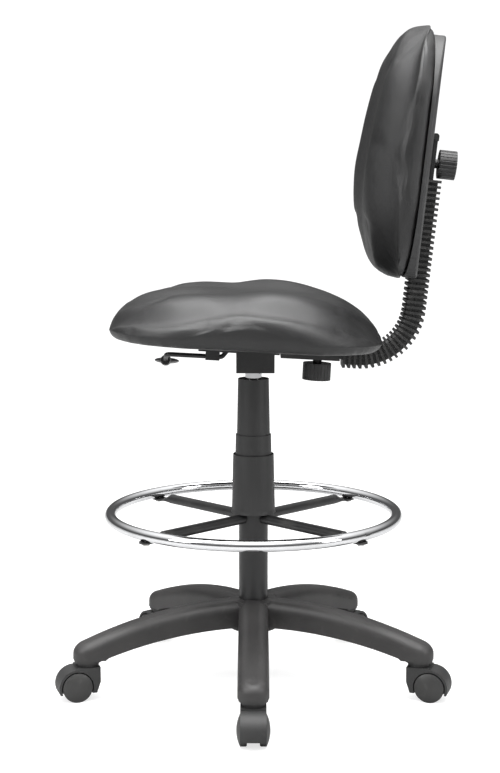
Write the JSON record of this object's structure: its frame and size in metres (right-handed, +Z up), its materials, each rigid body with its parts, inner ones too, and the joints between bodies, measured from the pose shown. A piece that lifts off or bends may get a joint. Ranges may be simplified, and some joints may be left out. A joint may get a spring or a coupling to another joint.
{
  "type": "drafting chair",
  "caption": "Armless drafting chair on a castered star base, with a gas lift, a chromed foot ring, a contoured seat and a backrest on a flat J-shaped bar in a ribbed sleeve.",
  "frame": {"origin": "on the floor, on the column's axis", "axes": "+Z up along the column, -Y the way the sitter faces, +X the sitter's left"},
  "size_m": [0.636, 0.6731, 1.1166],
  "materials": {
    "nylon": "moulded black nylon, fine satin texture",
    "cover_plastic": "smooth black plastic, matte",
    "black_steel": "black powder coat",
    "chrome": "polished chrome plate",
    "zinc_steel": "zinc plated steel",
    "black_rubber": "black rubber, soft sheen",
    "knob_plastic": "hard black plastic, satin",
    "plywood": "raw plywood",
    "vinyl": "black upholstery vinyl, fine grain, satin",
    "dust_cloth": "thin black non-woven cloth",
    "shell_plastic": "moulded black plastic, fine texture",
    "caster_nylon": "black nylon, matte",
    "wheel_nylon": "black nylon, satin"
  },
  "bodies": {
    "base": {"base_star": "nylon", "column_tube": "black_steel", "guide_sleeve": "cover_plastic", "footrest_spokes": "black_steel", "foot_ring": "chrome", "foot_ring_screws": "zinc_steel", "lower_cover": "cover_plastic", "thrust_bearing": "zinc_steel"},
    "gas_rod": {"piston_rod": "zinc_steel", "piston": "knob_plastic", "bump_stop": "black_rubber", "retaining_clip": "zinc_steel"},
    "seat_frame": {"gas_cylinder": "chrome", "upper_cover": "cover_plastic", "mechanism_plate": "black_steel", "socket_box": "black_steel", "bar_guide": "black_steel", "depth_nut": "black_steel", "lever_strap": "black_steel", "plate_screws": "zinc_steel", "tee_nuts": "zinc_steel", "seat_board": "plywood", "seat_cushion": "vinyl", "seat_dust_cover": "dust_cloth"},
    "middle_cover_body": {"middle_cover": "cover_plastic"},
    "release_lever": {"lever_rod": "black_steel", "lever_handle": "knob_plastic"},
    "valve_pin_body": {"valve_pin": "zinc_steel"},
    "depth_knob_body": {"depth_knob": "knob_plastic", "depth_stud": "zinc_steel"},
    "bar": {"back_bar": "black_steel", "bar_end_cap": "knob_plastic", "bellows": "black_rubber"},
    "backrest": {"back_board": "plywood", "back_cushion": "vinyl", "back_shell": "shell_plastic", "shell_screws": "zinc_steel", "back_tee_nut": "zinc_steel"},
    "back_knob_body": {"back_knob": "knob_plastic", "back_stud": "zinc_steel"},
    "caster_1": {"caster_1_hood": "caster_nylon", "caster_1_pins": "zinc_steel"},
    "caster_1_left": {"caster_1_wheel_left": "wheel_nylon"},
    "caster_1_right": {"caster_1_wheel_right": "wheel_nylon"},
    "caster_2": {"caster_2_hood": "caster_nylon", "caster_2_pins": "zinc_steel"},
    "caster_2_left": {"caster_2_wheel_left": "wheel_nylon"},
    "caster_2_right": {"caster_2_wheel_right": "wheel_nylon"},
    "caster_3": {"caster_3_hood": "caster_nylon", "caster_3_pins": "zinc_steel"},
    "caster_3_left": {"caster_3_wheel_left": "wheel_nylon"},
    "caster_3_right": {"caster_3_wheel_right": "wheel_nylon"},
    "caster_4": {"caster_4_hood": "caster_nylon", "caster_4_pins": "zinc_steel"},
    "caster_4_left": {"caster_4_wheel_left": "wheel_nylon"},
    "caster_4_right": {"caster_4_wheel_right": "wheel_nylon"},
    "caster_5": {"caster_5_hood": "caster_nylon", "caster_5_pins": "zinc_steel"},
    "caster_5_left": {"caster_5_wheel_left": "wheel_nylon"},
    "caster_5_right": {"caster_5_wheel_right": "wheel_nylon"}
  },
  "joints": [
    {"name": "seat_swivel", "type": "hinge", "parent": "base", "child": "gas_rod", "pos_m": [0, 0, 0.1], "axis": [0, 0, 1], "continuous": true},
    {"name": "seat_lift", "type": "slide", "parent": "gas_rod", "child": "seat_frame", "axis": [0, 0, 1], "range_m": [0, 0.127]},
    {"name": "cover_lift", "type": "slide", "parent": "base", "child": "middle_cover_body", "axis": [0, 0, 1], "range_m": [0, 0.064]},
    {"name": "lever_pull", "type": "hinge", "parent": "seat_frame", "child": "release_lever", "pos_m": [-0.024, -0.07188, 0.56591], "axis": [0, 0.9986, -0.0523], "range_deg": [0, 8], "stiffness_Nm_per_rad": 1.5, "springref_deg": -5.73},
    {"name": "valve_press", "type": "slide", "parent": "seat_frame", "child": "valve_pin_body", "axis": [0, 0, 1], "range_m": [-0.0042, 0]},
    {"name": "depth_knob_turn", "type": "hinge", "parent": "seat_frame", "child": "depth_knob_body", "pos_m": [0, 0.10776, 0.5543], "axis": [0, -0.0523, -0.9986], "range_deg": [0, 360]},
    {"name": "back_depth", "type": "slide", "parent": "seat_frame", "child": "bar", "axis": [0, 0.9986, -0.0523], "range_m": [0, 0.045]},
    {"name": "back_height", "type": "slide", "parent": "bar", "child": "backrest", "axis": [0, 0.108, 0.9942], "range_m": [0, 0.028]},
    {"name": "back_knob_turn", "type": "hinge", "parent": "backrest", "child": "back_knob_body", "pos_m": [0, 0.31384, 0.89065], "axis": [0, 0.9942, -0.108], "range_deg": [0, 360]},
    {"name": "caster_1_swivel", "type": "hinge", "parent": "base", "child": "caster_1", "pos_m": [0.292, 0, 0.075], "axis": [0, 0, 1], "continuous": true},
    {"name": "caster_1_left_spin", "type": "hinge", "parent": "caster_1", "child": "caster_1_left", "pos_m": [0.314, 0, 0.025], "axis": [0, -1, 0], "continuous": true},
    {"name": "caster_1_right_spin", "type": "hinge", "parent": "caster_1", "child": "caster_1_right", "pos_m": [0.314, 0, 0.025], "axis": [0, -1, 0], "continuous": true},
    {"name": "caster_2_swivel", "type": "hinge", "parent": "base", "child": "caster_2", "pos_m": [0.09023, 0.27771, 0.075], "axis": [0, 0, 1], "continuous": true},
    {"name": "caster_2_left_spin", "type": "hinge", "parent": "caster_2", "child": "caster_2_left", "pos_m": [0.09703, 0.29863, 0.025], "axis": [0.9511, -0.309, 0], "continuous": true},
    {"name": "caster_2_right_spin", "type": "hinge", "parent": "caster_2", "child": "caster_2_right", "pos_m": [0.09703, 0.29863, 0.025], "axis": [0.9511, -0.309, 0], "continuous": true},
    {"name": "caster_3_swivel", "type": "hinge", "parent": "base", "child": "caster_3", "pos_m": [-0.23623, 0.17163, 0.075], "axis": [0, 0, 1], "continuous": true},
    {"name": "caster_3_left_spin", "type": "hinge", "parent": "caster_3", "child": "caster_3_left", "pos_m": [-0.25403, 0.18457, 0.025], "axis": [0.5878, 0.809, 0], "continuous": true},
    {"name": "caster_3_right_spin", "type": "hinge", "parent": "caster_3", "child": "caster_3_right", "pos_m": [-0.25403, 0.18457, 0.025], "axis": [0.5878, 0.809, 0], "continuous": true},
    {"name": "caster_4_swivel", "type": "hinge", "parent": "base", "child": "caster_4", "pos_m": [-0.23623, -0.17163, 0.075], "axis": [0, 0, 1], "continuous": true},
    {"name": "caster_4_left_spin", "type": "hinge", "parent": "caster_4", "child": "caster_4_left", "pos_m": [-0.25403, -0.18457, 0.025], "axis": [-0.5878, 0.809, 0], "continuous": true},
    {"name": "caster_4_right_spin", "type": "hinge", "parent": "caster_4", "child": "caster_4_right", "pos_m": [-0.25403, -0.18457, 0.025], "axis": [-0.5878, 0.809, 0], "continuous": true},
    {"name": "caster_5_swivel", "type": "hinge", "parent": "base", "child": "caster_5", "pos_m": [0.09023, -0.27771, 0.075], "axis": [0, 0, 1], "continuous": true},
    {"name": "caster_5_left_spin", "type": "hinge", "parent": "caster_5", "child": "caster_5_left", "pos_m": [0.09703, -0.29863, 0.025], "axis": [-0.9511, -0.309, 0], "continuous": true},
    {"name": "caster_5_right_spin", "type": "hinge", "parent": "caster_5", "child": "caster_5_right", "pos_m": [0.09703, -0.29863, 0.025], "axis": [-0.9511, -0.309, 0], "continuous": true}
  ],
  "couplings": [
    {"joint": "cover_lift", "follows": "seat_lift", "ratio": 0.5},
    {"joint": "valve_press", "follows": "lever_pull", "m_per_rad": -0.028}
  ]
}
